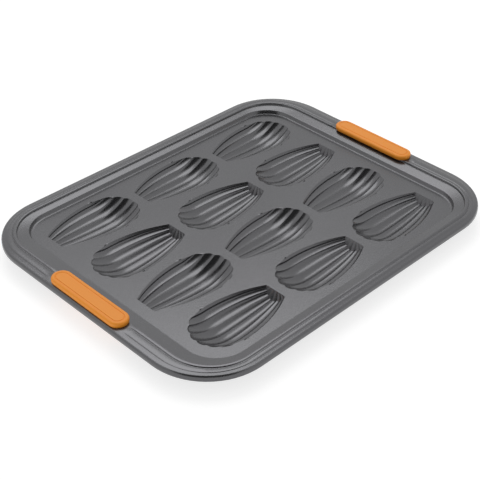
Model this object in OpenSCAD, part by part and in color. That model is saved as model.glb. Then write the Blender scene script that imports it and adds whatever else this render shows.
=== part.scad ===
/* [Tray] */
// Overall length, along X
tray_l = 350; // [330:1:380]
// Overall width, along Y
tray_w = 275; // [262:1:300]
// Outer corner radius
corner_r = 55; // [45:1:65]
// Thickness of the pressed steel sheet
sheet_t = 0.9; // [0.7:0.1:1.2]
// Height of the turned down skirt
skirt_h = 6.2; // [5:0.1:8]
// Height of the rim top above the deck
deck_drop = 6.1; // [5:0.1:8]

/* [Cups] */
// Pitch of the cups along X
pitch_x = 92.5; // [91:0.5:94]
// Pitch of the cups along Y
pitch_y = 56.5; // [55:0.5:58]
// Length from the square end to the widest place
cup_taper_l = 54.3; // [50:0.1:55]
// Length of the rounded end
cup_end_l = 28.6; // [26:0.1:29]
// Half width at the widest place
cup_half_w = 24; // [22:0.1:24.5]
// Half width at the square end
cup_square_w = 9.9; // [8:0.1:12]
// Depth of the ridges at the square end
depth_square = 6.4; // [5:0.1:8]
// Depth of the ridges at the deepest place
depth_max = 11; // [10:0.1:13]
// Bulge of each flute as a share of its width
flute_share = 0.2; // [0.12:0.01:0.22]

/* [Rim] */
// Width of the flange with its bead on the long sides
flange_w = 11.5; // [10:0.1:12]
// Width of the ledge on the long sides
ledge_w = 7.2; // [6:0.1:7.6]
// Extra width of the flange on the short sides
flange_extra = 4.2; // [3:0.1:5]
// Extra width of the ledge on the short sides
ledge_extra = 4.2; // [3:0.1:5]
// Corner radius of the deck
deck_corner_r = 25; // [24:0.5:28]
// Height of the step from the flange to the ledge
step_h = 2.3; // [1.8:0.1:3]

/* [Grips] */
// Length of each silicone grip
grip_l = 84; // [70:1:95]
// Width of each silicone grip
grip_w = 17; // [15:0.5:18]
// Distance of the grip's middle from the end of the tray
grip_inset = 10.5; // [10:0.1:12]
// Height of the grip above the flange
grip_top = 3.6; // [3:0.1:5]
// Height of the grip under the flange
grip_under = 2.4; // [2:0.1:3]
// Width of the slot in the flange that holds the grip
slot_w = 8; // [6:0.5:10]
// Width of the wire in the rolled edge
wire_d = 2.6; // [2:0.1:3]

/* [Hidden] */
rows = 4;
cols = 3;
flutes = 8;
steps_flute = 3;
steps_length = 9;
n = flutes * steps_flute;
m = steps_length + 1;
square_draft = 0.57;
end_arc = 34;
end_round = 0.975;
flute_depth = 1.3;
cell_gap_x = cols * pitch_x / 2;
cell_gap_y = rows * pitch_y / 2;
wall_long = flange_w + ledge_w;
wall_short = wall_long + flange_extra + ledge_extra;
mouth_mid = (cup_taper_l + cup_end_l) / 2;
side_r = (pow(cup_taper_l, 2) + pow(cup_half_w - cup_square_w, 2)) / (2 * (cup_half_w - cup_square_w));
foot_flat = 0.15;
cup_reach = -min([for (r = grid_out(grid_in())) for (p = r) p[2]]) - foot_flat;
deck_z = cup_reach;
rim_z = deck_z + deck_drop;
$fn = 96;

// Half width of the mouth at a distance from the square end
function half_at(u) = cup_half_w - side_r + sqrt(pow(side_r, 2) - pow(cup_taper_l - u, 2));
function depth_at(u) = depth_square + (depth_max - depth_square) * sin(90 * u / cup_taper_l);

// A point of the ridge surface, with a from -90 to 90 across and t from 0 to 1 along
function ridge(a, t) =
    let (foot = square_draft * depth_square * pow(cos(a), 2))
    let (q = t * (cup_taper_l + end_arc * cos(a)))
    let (u = min(cup_taper_l, foot + (cup_taper_l - foot) * q / cup_taper_l))
    let (f = q <= cup_taper_l ? 0 : min(90, 90 * (q - cup_taper_l) / (end_arc * cos(a) + 0.0001)))
    let (h = half_at(u) * (1 - (1 - end_round) * sin(f)))
    [u + cup_end_l * cos(a) * sin(f), h * sin(a), -depth_at(u) * pow(cos(a) * cos(f), 2)];

// Outward direction of the surface at that point
function away(a, t) =
    let (q = t * (cup_taper_l + end_arc * cos(a)))
    let (f = q <= cup_taper_l ? 0 : min(90, 90 * (q - cup_taper_l) / (end_arc * cos(a) + 0.0001)))
    [cos(a) * sin(f), sin(a), -cos(a) * cos(f)];

// A point of the fluted surface: i counts across and t runs along
function fluted(i, t) =
    let (k = min(flutes - 1, floor(i / steps_flute)))
    let (g = i / steps_flute - k)
    let (a0 = -90 + 180 * k / flutes)
    let (a1 = -90 + 180 * (k + 1) / flutes)
    let (chord = norm(ridge(a1, t) - ridge(a0, t)))
    let (side = k == 0 || k == flutes - 1)
    let (b = side ? 0 : 4 * g * (1 - g) * flute_share * min(chord, flute_depth / flute_share))
    let (p = ridge(-90 + 180 * i / n, t) + b * away(-90 + 180 * i / n, t))
    [p[0], p[1], min(0, p[2])];

function grid_in() = [for (j = [0:m]) [for (i = [0:n])
    j == 0 ? [0, -cup_square_w + 2 * cup_square_w * i / n, 0] : fluted(i, (j - 1) / (m - 1))]];

// Unit normal of the grid, pointing out of the cup
function unit(v) = v / max(norm(v), 0.0001);
function grid_normal(g, i, j) =
    unit(cross(g[j][min(n, i + 1)] - g[j][max(0, i - 1)], g[min(m, j + 1)][i] - g[max(0, j - 1)][i]));
function grid_out(g) = [for (j = [0:m]) [for (i = [0:n])
    let (edge = i == 0 || i == n || j == 0 || j == m)
    let (p = edge ? g[j][i] - [0, 0, sheet_t] : g[j][i] + sheet_t * grid_normal(g, i, j))
    [p[0], p[1], min(p[2], -sheet_t)]]];

// The grid's edge as one loop, and the cell's edge that goes with it
loop_ij = concat([for (i = [0:n]) [0, i]], [for (j = [1:m]) [j, n]],
    [for (i = [n - 1:-1:0]) [m, i]], [for (j = [m - 1:-1:1]) [j, 0]]);
function cell_point(j, i) =
    j == 0 ? [mouth_mid - pitch_x / 2, -pitch_y / 2 + pitch_y * i / n] :
    j == m ? [mouth_mid + pitch_x / 2, -pitch_y / 2 + pitch_y * i / n] :
    [mouth_mid - pitch_x / 2 + pitch_x * j / m, i == 0 ? -pitch_y / 2 : pitch_y / 2];

// One cell of the sheet with its shell shaped cup
module cup_cell() {
    g = grid_in();
    o = grid_out(g);
    w = n + 1;
    count = w * (m + 1);
    loop_n = len(loop_ij);
    rim_top = [for (e = loop_ij) concat(cell_point(e[0], e[1]), 0)];
    rim_low = [for (e = loop_ij) concat(cell_point(e[0], e[1]), -sheet_t)];
    points = concat([for (r = g) for (p = r) p],
        [for (r = o) for (p = r) [p[0], p[1], max(p[2], -cup_reach)]], rim_top, rim_low);
    function at(j, i) = j * w + i;
    top0 = 2 * count;
    low0 = top0 + loop_n;
    inside = [for (j = [0:m - 1]) for (i = [0:n - 1]) each
        [[at(j, i), at(j, i + 1), at(j + 1, i + 1)], [at(j, i), at(j + 1, i + 1), at(j + 1, i)]]];
    outside = [for (f = inside) [f[2] + count, f[1] + count, f[0] + count]];
    ring = [for (k = [0:loop_n - 1]) let (k2 = (k + 1) % loop_n)
        let (a = at(loop_ij[k][0], loop_ij[k][1]), b = at(loop_ij[k2][0], loop_ij[k2][1])) each
        [[a, top0 + k, top0 + k2], [a, top0 + k2, b],
         [b + count, low0 + k2, low0 + k], [b + count, low0 + k, a + count],
         [top0 + k, low0 + k, low0 + k2], [top0 + k, low0 + k2, top0 + k2]]];
    translate([-mouth_mid, 0, 0]) polyhedron(points, concat(inside, outside, ring));
}

module cup(r, c) {
    turn = r % 2 == 0 ? 0 : 180;
    color([0.24, 0.24, 0.25])
    translate([(c - (cols - 1) / 2) * pitch_x, ((rows - 1) / 2 - r) * pitch_y, deck_z])
    rotate([0, 0, turn]) cup_cell();
}

// A rectangle with round corners, drawn in from the tray's edge
module outline(in_x, in_y, r) {
    l = tray_l - 2 * in_x;
    w = tray_w - 2 * in_y;
    union() {
        square([l - 2 * r, w], center = true);
        square([l, w - 2 * r], center = true);
        for (x = [-1, 1]) for (y = [-1, 1])
            translate([x * (l / 2 - r), y * (w / 2 - r)]) circle(r);
    }
}

// A flat or upright ring between two outlines, given by insets and radius
module ring(z, h, a, b) {
    translate([0, 0, z]) linear_extrude(h) difference() {
        outline(a[0], a[1], a[2]);
        outline(b[0], b[1], b[2]);
    }
}

edge_out = [0, 0, corner_r];
edge_in = [sheet_t, sheet_t, corner_r - sheet_t];
step_out = [flange_w + flange_extra, flange_w, corner_r - flange_w - flange_extra / 2];
step_in = [step_out[0] + sheet_t, step_out[1] + sheet_t, step_out[2] - sheet_t];
wall_out = [wall_short, wall_long, deck_corner_r];
wall_in = [wall_out[0] + sheet_t, wall_out[1] + sheet_t, wall_out[2] - sheet_t];
grip_x = tray_l / 2 - grip_inset;
slot_l = grip_l - grip_w + slot_w;

module pill(l, w) {
    square([w, l - w], center = true);
    for (y = [-1, 1]) translate([0, y * (l - w) / 2]) circle(d = w);
}

module deck_border() {
    color([0.25, 0.25, 0.26])
    translate([0, 0, deck_z - sheet_t]) linear_extrude(sheet_t) difference() {
        outline(wall_out[0], wall_out[1], wall_out[2]);
        square([2 * cell_gap_x, 2 * cell_gap_y], center = true);
    }
}

module rim() {
    color([0.24, 0.24, 0.25])
    difference() {
        union() {
            ring(rim_z - skirt_h, skirt_h, edge_out, edge_in);
            ring(rim_z - sheet_t, sheet_t, edge_out, step_in);
            ring(rim_z - step_h, step_h, step_out, step_in);
            ring(rim_z - step_h - sheet_t, sheet_t, step_out, wall_in);
            ring(deck_z, rim_z - step_h - deck_z, wall_out, wall_in);
        }
        for (s = [-1, 1]) translate([s * grip_x, 0, rim_z - 2 * sheet_t])
            linear_extrude(3 * sheet_t) pill(slot_l, slot_w);
    }
}

module rim_wire() {
    wire_in = [sheet_t + wire_d, sheet_t + wire_d, corner_r - sheet_t - wire_d];
    color([0.6, 0.6, 0.62])
    ring(rim_z - sheet_t - wire_d, wire_d, edge_in, wire_in);
}

module grip(s) {
    color([0.91, 0.47, 0.12])
    translate([s * grip_x, 0, rim_z]) {
        linear_extrude(grip_top) pill(grip_l, grip_w);
        translate([0, 0, -sheet_t]) linear_extrude(sheet_t) pill(slot_l, slot_w);
        translate([0, 0, -sheet_t - grip_under]) linear_extrude(grip_under) pill(slot_l + 2, slot_w + 2);
    }
}

for (r = [0:rows - 1]) for (c = [0:cols - 1])
    cup(r, c);
deck_border();
rim();
rim_wire();
grip(-1);  // grip_left
grip(1);  // grip_right
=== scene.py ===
import math
import bmesh
import bpy
from mathutils import Matrix, Vector


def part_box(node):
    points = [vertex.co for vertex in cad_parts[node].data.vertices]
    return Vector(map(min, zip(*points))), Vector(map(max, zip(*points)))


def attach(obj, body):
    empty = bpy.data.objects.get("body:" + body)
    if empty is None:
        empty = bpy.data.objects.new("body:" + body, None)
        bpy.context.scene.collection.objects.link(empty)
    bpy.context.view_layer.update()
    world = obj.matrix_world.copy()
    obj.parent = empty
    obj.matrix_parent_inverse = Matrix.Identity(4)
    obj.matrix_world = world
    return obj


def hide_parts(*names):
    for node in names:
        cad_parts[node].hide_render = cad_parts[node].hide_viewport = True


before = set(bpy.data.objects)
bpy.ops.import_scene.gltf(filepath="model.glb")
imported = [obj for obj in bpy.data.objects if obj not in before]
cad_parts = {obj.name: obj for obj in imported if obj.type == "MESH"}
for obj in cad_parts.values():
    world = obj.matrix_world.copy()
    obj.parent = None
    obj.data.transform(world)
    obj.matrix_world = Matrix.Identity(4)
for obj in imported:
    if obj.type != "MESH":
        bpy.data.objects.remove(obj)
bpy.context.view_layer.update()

# The camera stands at the photograph's angle, with the long lens that its outline gives.
# The picture is taken as 480 by 480 pixels, and the tray's rim is the plane it was fitted on.
MM = 0.001
SENSOR_MM, LENS_MM = 36.0, 83.38
YAW, DOWN, ROLL = math.radians(45.24), math.radians(36.18), math.radians(0.335)
EYE_X, EYE_Y, EYE_OVER_RIM = -0.53944, -0.53802, 0.5287
scene = bpy.context.scene
rim_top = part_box("rim")[1][2]
deck_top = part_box("deck_border")[1][2]
camera_data = bpy.data.cameras.new("camera")
camera_data.sensor_width = SENSOR_MM
camera_data.lens = LENS_MM
camera = bpy.data.objects.new("camera", camera_data)
scene.collection.objects.link(camera)
scene.camera = camera
heading = Matrix.Rotation(YAW - math.pi / 2, 4, "Z")
tilt = Matrix.Rotation(math.pi / 2 - DOWN, 4, "X") @ Matrix.Rotation(ROLL, 4, "Z")
camera.matrix_world = Matrix.Translation((EYE_X, EYE_Y, rim_top + EYE_OVER_RIM)) @ heading @ tilt


# Shader maths: a socket wrapped in a small class, so that expressions make their own nodes.
class Sock:
    def __init__(self, tree, out):
        self.tree, self.out = tree, out

    def math(self, kind, *values):
        node = self.tree.nodes.new("ShaderNodeMath")
        node.operation = kind
        for slot, value in enumerate((self,) + values):
            if isinstance(value, Sock):
                self.tree.links.new(value.out, node.inputs[slot])
            else:
                node.inputs[slot].default_value = value
        return Sock(self.tree, node.outputs[0])

    def __add__(self, other):
        return self.math("ADD", other)

    def __mul__(self, other):
        return self.math("MULTIPLY", other)

    def node(self, kind, settings=None, **inputs):
        made = self.tree.nodes.new(kind)
        for key, value in (settings or {}).items():
            setattr(made, key, value)
        for key, value in inputs.items():
            slot = made.inputs[key]
            if isinstance(value, Sock):
                self.tree.links.new(value.out, slot)
            else:
                slot.default_value = value
        return made


def finish_of(name, colour, metal, rough, grain, bump, speckle):
    """A finish with a fine grain: colour and roughness vary, and the grain is raised."""
    mat = bpy.data.materials.new(name)
    mat.use_nodes = True
    tree = mat.node_tree
    shader = tree.nodes["Principled BSDF"]
    place = Sock(tree, tree.nodes.new("ShaderNodeTexCoord").outputs["Object"])
    fine = place.node("ShaderNodeTexNoise", None, Vector=place, Scale=grain, Detail=3.0)
    broad = place.node("ShaderNodeTexNoise", None, Vector=place, Scale=14.0, Detail=2.0)
    fine_v = Sock(tree, fine.outputs["Fac"])
    broad_v = Sock(tree, broad.outputs["Fac"])
    light = [min(1.0, c * (1 + speckle)) for c in colour]
    dark = [c * (1 - speckle) for c in colour]
    mix = place.node("ShaderNodeMix", {"data_type": "RGBA"})
    mix.inputs[6].default_value = (*dark, 1)
    mix.inputs[7].default_value = (*light, 1)
    tree.links.new((fine_v * 0.7 + broad_v * 0.3).out, mix.inputs[0])
    tree.links.new(mix.outputs[2], shader.inputs["Base Color"])
    tree.links.new((fine_v * 0.08 + broad_v * 0.06 + (rough - 0.07)).out, shader.inputs["Roughness"])
    raised = place.node("ShaderNodeBump", None, Height=fine_v, Strength=bump, Distance=0.00015)
    tree.links.new(raised.outputs["Normal"], shader.inputs["Normal"])
    shader.inputs["Metallic"].default_value = metal
    return mat


def add_piece(name, bm, mat, nodes):
    """Closes a bmesh into a piece that rides on the tray and stands for the given nodes."""
    mesh = bpy.data.meshes.new(name)
    bm.to_mesh(mesh)
    bm.free()
    piece = bpy.data.objects.new(name, mesh)
    scene.collection.objects.link(piece)
    mesh.materials.append(mat)
    mesh.shade_smooth()
    mesh.set_sharp_from_angle(angle=math.radians(40))
    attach(piece, "root")
    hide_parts(*nodes)
    return piece


# The pressed sheet is one piece of steel with a dark non-stick coat baked on.
# Its twelve shell cups are drawn down from the deck, and the stepped rim is drawn up round it.
# The shown sheet is a little thinner than the part's own, so that it stays inside it.
SHEET = 0.63 * MM
PITCH_X, PITCH_Y = 92.5 * MM, 56.5 * MM
TAPER, END, HALF, SQUARE = 54.3 * MM, 28.6 * MM, 24.0 * MM, 9.9 * MM
DEEP_SQUARE, DEEP = 6.4 * MM, 11.0 * MM
SIDE_R = (TAPER ** 2 + (HALF - SQUARE) ** 2) / (2 * (HALF - SQUARE))
FLUTES, ACROSS, ALONG, END_ARC = 8, 6, 34, 34 * MM
LIP = 1.5 * MM
WALL_DRAFT, MOUTH_DRAWN_IN = 0.57, 0.025
FLUTE_SHARE, FLUTE_DEPTH = 0.2, 1.3 * MM
cells_x = ALONG + 1
cells_y = FLUTES * ACROSS


def ridge(a, t):
    foot = WALL_DRAFT * DEEP_SQUARE * math.cos(a) ** 2
    q = t * (TAPER + END_ARC * math.cos(a))
    u = min(TAPER, foot + (TAPER - foot) * q / TAPER)
    f = 0.0 if q <= TAPER else min(1.0, (q - TAPER) / (END_ARC * math.cos(a) + 1e-9)) * math.pi / 2
    half = HALF - SIDE_R + math.sqrt(SIDE_R ** 2 - (TAPER - u) ** 2)
    half *= 1 - MOUTH_DRAWN_IN * math.sin(f)
    deep = DEEP_SQUARE + (DEEP - DEEP_SQUARE) * math.sin(math.pi / 2 * u / TAPER)
    out = Vector((math.cos(a) * math.sin(f), math.sin(a), -math.cos(a) * math.cos(f)))
    x = u + END * math.cos(a) * math.sin(f)
    point = Vector((x, half * math.sin(a), -deep * (math.cos(a) * math.cos(f)) ** 2))
    return point, out


def cup_point(i, t):
    k = min(FLUTES - 1, i // ACROSS)
    g = i / ACROSS - k
    a0 = math.pi * (k / FLUTES - 0.5)
    a1 = math.pi * ((k + 1) / FLUTES - 0.5)
    point, out = ridge(math.pi * (i / cells_y - 0.5), t)
    if 0 < k < FLUTES - 1:
        chord = (ridge(a1, t)[0] - ridge(a0, t)[0]).length
        point = point + out * (4 * g * (1 - g) * min(FLUTE_SHARE * chord, FLUTE_DEPTH))
    point.z = min(0.0, point.z)
    return point


def cup_cell(bm, centre, turned):
    """One cup: a grid pressed into the shell, with a narrow flat lip round its mouth."""
    made = bmesh.ops.create_grid(bm, x_segments=cells_x, y_segments=cells_y, size=0.5)
    rows = {}
    for vert in made["verts"]:
        j = round((vert.co.x + 0.5) * cells_x)
        i = round((vert.co.y + 0.5) * cells_y)
        rows[i, j] = vert
        if j == 0:
            vert.co = Vector((0, SQUARE * (2 * i / cells_y - 1), 0))
        else:
            vert.co = cup_point(i, (j - 1) / ALONG)
    loop = [rows[i, 0] for i in range(cells_y + 1)]
    loop += [rows[cells_y, j] for j in range(1, cells_x + 1)]
    loop += [rows[i, cells_x] for i in range(cells_y - 1, -1, -1)]
    loop += [rows[0, j] for j in range(cells_x - 1, 0, -1)]
    outer = []
    for k in range(len(loop)):
        along = loop[(k + 1) % len(loop)].co - loop[k - 1].co
        aside = Vector((-along.y, along.x, 0)).normalized()
        outer.append(bm.verts.new(Vector((loop[k].co.x, loop[k].co.y, 0)) + aside * LIP))
    for k in range(len(loop)):
        n = (k + 1) % len(loop)
        bm.faces.new((loop[n], outer[n], outer[k], loop[k]))
    mid = (TAPER + END) / 2
    verts = list(rows.values()) + outer
    bmesh.ops.translate(bm, vec=(-mid, 0, 0), verts=verts)
    if turned:
        bmesh.ops.rotate(bm, cent=(0, 0, 0), matrix=Matrix.Rotation(math.pi, 3, "Z"), verts=verts)
    bmesh.ops.translate(bm, vec=centre, verts=verts)


def grow(bm, loop, edges):
    """Extrudes a closed loop of edges, and gives the new loop in the same order."""
    grown = bmesh.ops.extrude_edge_only(bm, edges=edges)["geom"]
    members, pairs = set(loop), {}
    for face in (item for item in grown if isinstance(item, bmesh.types.BMFace)):
        for edge in face.edges:
            one, two = edge.verts
            if (one in members) != (two in members):
                pairs[one if one in members else two] = two if one in members else one
    fresh = [pairs[vert] for vert in loop]
    return fresh, [bm.edges.get((fresh[k - 1], fresh[k])) for k in range(len(fresh))]


CORNER, SIDE = 16, 40
LENGTH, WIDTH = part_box("rim")[1][0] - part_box("rim")[0][0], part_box("rim")[1][1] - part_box("rim")[0][1]


def outline(in_x, in_y, radius, length=LENGTH, width=WIDTH):
    """Points round a rectangle with round corners, the same count at any inset."""
    hx, hy = length / 2 - in_x, width / 2 - in_y
    centres = [(hx - radius, hy - radius, 0), (radius - hx, hy - radius, 1),
               (radius - hx, radius - hy, 2), (hx - radius, radius - hy, 3)]
    points = []
    for n, (cx, cy, quarter) in enumerate(centres):
        arc = [(cx + radius * math.cos(math.pi / 2 * (quarter + s / CORNER)),
                cy + radius * math.sin(math.pi / 2 * (quarter + s / CORNER))) for s in range(CORNER + 1)]
        points += arc
        nx, ny, _ = centres[(n + 1) % 4]
        angle = math.pi / 2 * (quarter + 1)
        start, stop = arc[-1], (nx + radius * math.cos(angle), ny + radius * math.sin(angle))
        points += [(start[0] + (stop[0] - start[0]) * s / SIDE, start[1] + (stop[1] - start[1]) * s / SIDE)
                   for s in range(1, SIDE)]
    return points


# From the deck out to the skirt: inset on the long sides, inset on the short sides,
# height under the rim's top and corner radius, in mm.
RIM = [(21.7, 30.1, -6.1, 25.7), (20.2, 28.6, -6.1, 27.2), (19.7, 28.1, -5.9, 27.6),
       (19.3, 27.7, -5.3, 28), (18.7, 27.1, -3.1, 28.6), (18.4, 26.8, -2.6, 29),
       (17.9, 26.3, -2.4, 29.5), (12.4, 16.6, -2.3, 36), (11.9, 16.1, -2.1, 36.6),
       (11.6, 15.8, -0.6, 37), (11.3, 15.5, -0.2, 37.3), (10.8, 15, -0.05, 37.8), (9.2, 13, -0.05, 40),
       (8.7, 12.4, -0.25, 40.6), (8.3, 12, -0.8, 41), (7.9, 11.6, -0.85, 41.4),
       (7.5, 11.2, -0.6, 41.8), (4.8, 6, -0.55, 47), (4.4, 5.5, -0.75, 47.6), (4, 5, -0.95, 48),
       (1.8, 2, -1, 52), (0.8, 0.9, -1.3, 54), (0.2, 0.2, -2, 55), (0, 0, -2.8, 55), (0, 0, -5.4, 55),
       (0.3, 0.3, -6, 54.7), (1, 1, -6.15, 54)]
# Beside each grip the bead between these two loops is pressed flat, as a seat for the grip.
BEAD_FROM, BEAD_TO, SEAT_Z, SEAT_IN = 9, 20, -0.45, 20 * MM
BEND, BEND_STEPS, BEND_FROM = 0.45 * MM, 2, math.radians(28)
coated = finish_of("baked_coat", (0.115, 0.115, 0.12), 0.85, 0.25, 1500.0, 0.25, 0.16)
bm = bmesh.new()
for row in range(4):
    for column in range(3):
        cup_cell(bm, ((column - 1) * PITCH_X, (1.5 - row) * PITCH_Y, 0), row % 2 == 1)
inner = [edge for edge in bm.edges if edge.is_boundary]
ring = [bm.verts.new((x, y, 0)) for x, y in outline(RIM[0][1] * MM, RIM[0][0] * MM, RIM[0][3] * MM)]
edges = [bm.edges.new((ring[k], ring[(k + 1) % len(ring)])) for k in range(len(ring))]
bmesh.ops.triangle_fill(bm, use_beauty=True, use_dissolve=False, edges=inner + edges, normal=(0, 0, 1))
grip_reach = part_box("grip_left")[1][1] + 4 * MM
for n, (in_y, in_x, z, radius) in enumerate(RIM[1:], start=1):
    ring, edges = grow(bm, ring, edges)
    for vert, (x, y) in zip(ring, outline(in_x * MM, in_y * MM, radius * MM)):
        near_grip = abs(y) < grip_reach and abs(x) > LENGTH / 2 - SEAT_IN
        height = SEAT_Z if BEAD_FROM < n < BEAD_TO and near_grip else z
        vert.co = Vector((x, y, rim_top - deck_top + height * MM))
bmesh.ops.translate(bm, vec=(0, 0, deck_top), verts=bm.verts)
bmesh.ops.recalc_face_normals(bm, faces=bm.faces)
if sum(face.normal.z * face.calc_area() for face in bm.faces) < 0:
    bmesh.ops.reverse_faces(bm, faces=bm.faces)
sheet_nodes = [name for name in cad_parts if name.startswith("cup_")] + ["deck_border", "rim"]
sheet = add_piece("pressed_sheet", bm, coated, sheet_nodes)
bevel = sheet.modifiers.new("press_radius", "BEVEL")
bevel.width = BEND
bevel.segments = BEND_STEPS
bevel.limit_method = "ANGLE"
bevel.angle_limit = BEND_FROM
wall = sheet.modifiers.new("sheet", "SOLIDIFY")
wall.thickness = SHEET
wall.offset = -1.0

# The grips are orange silicone, one at the middle of each short side of the rim.
# The top has round edges and one fine line run round it. The pad under the flange is a guess.
silicone = finish_of("orange_silicone", (0.90, 0.30, 0.015), 0.0, 0.48, 900.0, 0.3, 0.05)
GRIP = [(1.2, -3.2), (0.2, -2.9), (3.2, -1.0), (0.5, -0.6), (0, 0.2), (0, 2.0), (0.35, 2.9), (1.1, 3.45),
        (2.1, 3.6), (3.0, 3.6), (3.3, 3.25), (3.7, 3.25), (4.0, 3.6), (6.5, 3.6)]

PAD_IN, ROUND = 3.5, 24


def grip_loop(inset, low, high):
    half, reach = (high[0] - low[0]) / 2 - inset, (high[1] - low[1]) / 2 - inset
    points = []
    for end in (0, 1):
        for s in range(ROUND + 1):
            angle = math.pi * (end + s / ROUND)
            points.append((half * math.cos(angle), (reach - half) * (1 - 2 * end) + half * math.sin(angle)))
    return points


for side in ("grip_left", "grip_right"):
    low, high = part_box(side)
    centre = ((low[0] + high[0]) / 2, (low[1] + high[1]) / 2)
    bm = bmesh.new()
    first = [bm.verts.new((x, y, GRIP[0][1] * MM)) for x, y in grip_loop((GRIP[0][0] + PAD_IN) * MM, low, high)]
    edges = [bm.edges.new((first[k], first[(k + 1) % len(first)])) for k in range(len(first))]
    bm.faces.new(first)
    loop = first
    for n, (inset, z) in enumerate(GRIP[1:], start=1):
        extra = PAD_IN if n < 2 else 0.0
        points = grip_loop((inset + extra) * MM, low, high)
        loop, edges = grow(bm, loop, edges)
        for vert, (x, y) in zip(loop, points):
            vert.co = Vector((x, y, z * MM))
    bm.faces.new(loop)
    bmesh.ops.remove_doubles(bm, verts=bm.verts, dist=1e-6)
    bmesh.ops.recalc_face_normals(bm, faces=bm.faces)
    bmesh.ops.translate(bm, vec=(*centre, rim_top), verts=bm.verts)
    add_piece("silicone_" + side, bm, silicone, [side])

# The wire in the rolled edge is a round ring of drawn steel.
# It is a guess, lies in the fold between the flange and the skirt, and shows only from below.
wire = finish_of("drawn_wire", (0.3, 0.3, 0.32), 1.0, 0.35, 700.0, 0.2, 0.1)
WIRE_R, WIRE_IN, WIRE_UNDER, AROUND = 0.9 * MM, 2.2 * MM, 2.55 * MM, 12
EDGE_CORNER = 55 * MM
bm = bmesh.new()
turns = []
for step in range(AROUND):
    angle = 2 * math.pi * step / AROUND
    inset = WIRE_IN - WIRE_R * math.cos(angle)
    height = rim_top - WIRE_UNDER + WIRE_R * math.sin(angle)
    turns.append([bm.verts.new((x, y, height)) for x, y in outline(inset, inset, EDGE_CORNER - inset)])
for step, here in enumerate(turns):
    there = turns[(step + 1) % AROUND]
    for k in range(len(here)):
        n = (k + 1) % len(here)
        bm.faces.new((here[k], here[n], there[n], there[k]))
bmesh.ops.recalc_face_normals(bm, faces=bm.faces)
add_piece("round_wire", bm, wire, ["rim_wire"])

# The studio: a white floor that keeps the shadow, a white world, and one large soft lamp.
# A dark card on the camera's side is seen only in reflections, so the pressed walls read dark.
FLOOR_HALF, FLOOR_WHITE, FLOOR_GLOW, GLOW_SHARE = 4.0, 0.9, 1.45, 0.5
CARD_HALF, CARD_AT, CARD_TILT, CARD_BLACK = 2.0, (-1.1, -1.1, 1.75), math.radians(42), 0.01
SKY_LEVEL, SOFTBOX_SIZE, SOFTBOX_POWER, SOFTBOX_AT = 0.55, 1.2, 9, (0.5, 0.7, 1.6)
floor_mesh = bpy.data.meshes.new("floor")
bm = bmesh.new()
bmesh.ops.create_grid(bm, x_segments=1, y_segments=1, size=FLOOR_HALF)
bm.to_mesh(floor_mesh)
bm.free()
floor = bpy.data.objects.new("floor", floor_mesh)
scene.collection.objects.link(floor)
paint = bpy.data.materials.new("floor_paint")
paint.use_nodes = True
tree = paint.node_tree
tree.nodes["Principled BSDF"].inputs["Base Color"].default_value = (FLOOR_WHITE, FLOOR_WHITE, FLOOR_WHITE, 1)
tree.nodes["Principled BSDF"].inputs["Roughness"].default_value = 0.9
glow = tree.nodes.new("ShaderNodeEmission")
blend = tree.nodes.new("ShaderNodeMixShader")
blend.inputs[0].default_value = GLOW_SHARE
glow.inputs["Strength"].default_value = FLOOR_GLOW
tree.links.new(tree.nodes["Principled BSDF"].outputs[0], blend.inputs[1])
tree.links.new(glow.outputs[0], blend.inputs[2])
tree.links.new(blend.outputs[0], tree.nodes["Material Output"].inputs["Surface"])
floor_mesh.materials.append(paint)

card_mesh = bpy.data.meshes.new("card")
bm = bmesh.new()
bmesh.ops.create_grid(bm, x_segments=1, y_segments=1, size=CARD_HALF)
bm.to_mesh(card_mesh)
bm.free()
card = bpy.data.objects.new("card", card_mesh)
card_turn = Matrix.Rotation(-math.pi / 4, 4, "Z") @ Matrix.Rotation(CARD_TILT, 4, "X")
card.matrix_world = Matrix.Translation(CARD_AT) @ card_turn
scene.collection.objects.link(card)
black = bpy.data.materials.new("card_cloth")
black.use_nodes = True
cloth = black.node_tree.nodes["Principled BSDF"]
cloth.inputs["Base Color"].default_value = (CARD_BLACK, CARD_BLACK, CARD_BLACK, 1)
cloth.inputs["Roughness"].default_value = 1.0
card_mesh.materials.append(black)
card.visible_camera = False
card.visible_diffuse = False
card.visible_shadow = False

world = bpy.data.worlds.new("studio")
scene.world = world
world.use_nodes = True
tree = world.node_tree
light_path = tree.nodes.new("ShaderNodeLightPath")
seen = tree.nodes.new("ShaderNodeMath")
seen.operation = "MAXIMUM"
tree.links.new(light_path.outputs["Is Camera Ray"], seen.inputs[0])
tree.links.new(light_path.outputs["Is Glossy Ray"], seen.inputs[1])
seen_through = tree.nodes.new("ShaderNodeMath")
seen_through.operation = "MAXIMUM"
tree.links.new(seen.outputs[0], seen_through.inputs[0])
tree.links.new(light_path.outputs["Is Transmission Ray"], seen_through.inputs[1])
level = tree.nodes.new("ShaderNodeMapRange")
level.inputs["To Min"].default_value = SKY_LEVEL
level.inputs["To Max"].default_value = 1.0
tree.links.new(seen_through.outputs[0], level.inputs["Value"])
tree.links.new(level.outputs[0], tree.nodes["Background"].inputs["Strength"])
tree.nodes["Background"].inputs["Color"].default_value = (1, 1, 1, 1)

lamp_data = bpy.data.lights.new("softbox", "AREA")
lamp_data.shape = "SQUARE"
lamp_data.size = SOFTBOX_SIZE
lamp_data.energy = SOFTBOX_POWER
lamp = bpy.data.objects.new("softbox", lamp_data)
lamp.location = SOFTBOX_AT
lamp.rotation_euler = (-Vector(SOFTBOX_AT)).to_track_quat("-Z", "Y").to_euler()
scene.collection.objects.link(lamp)

scene.view_settings.view_transform = "Standard"
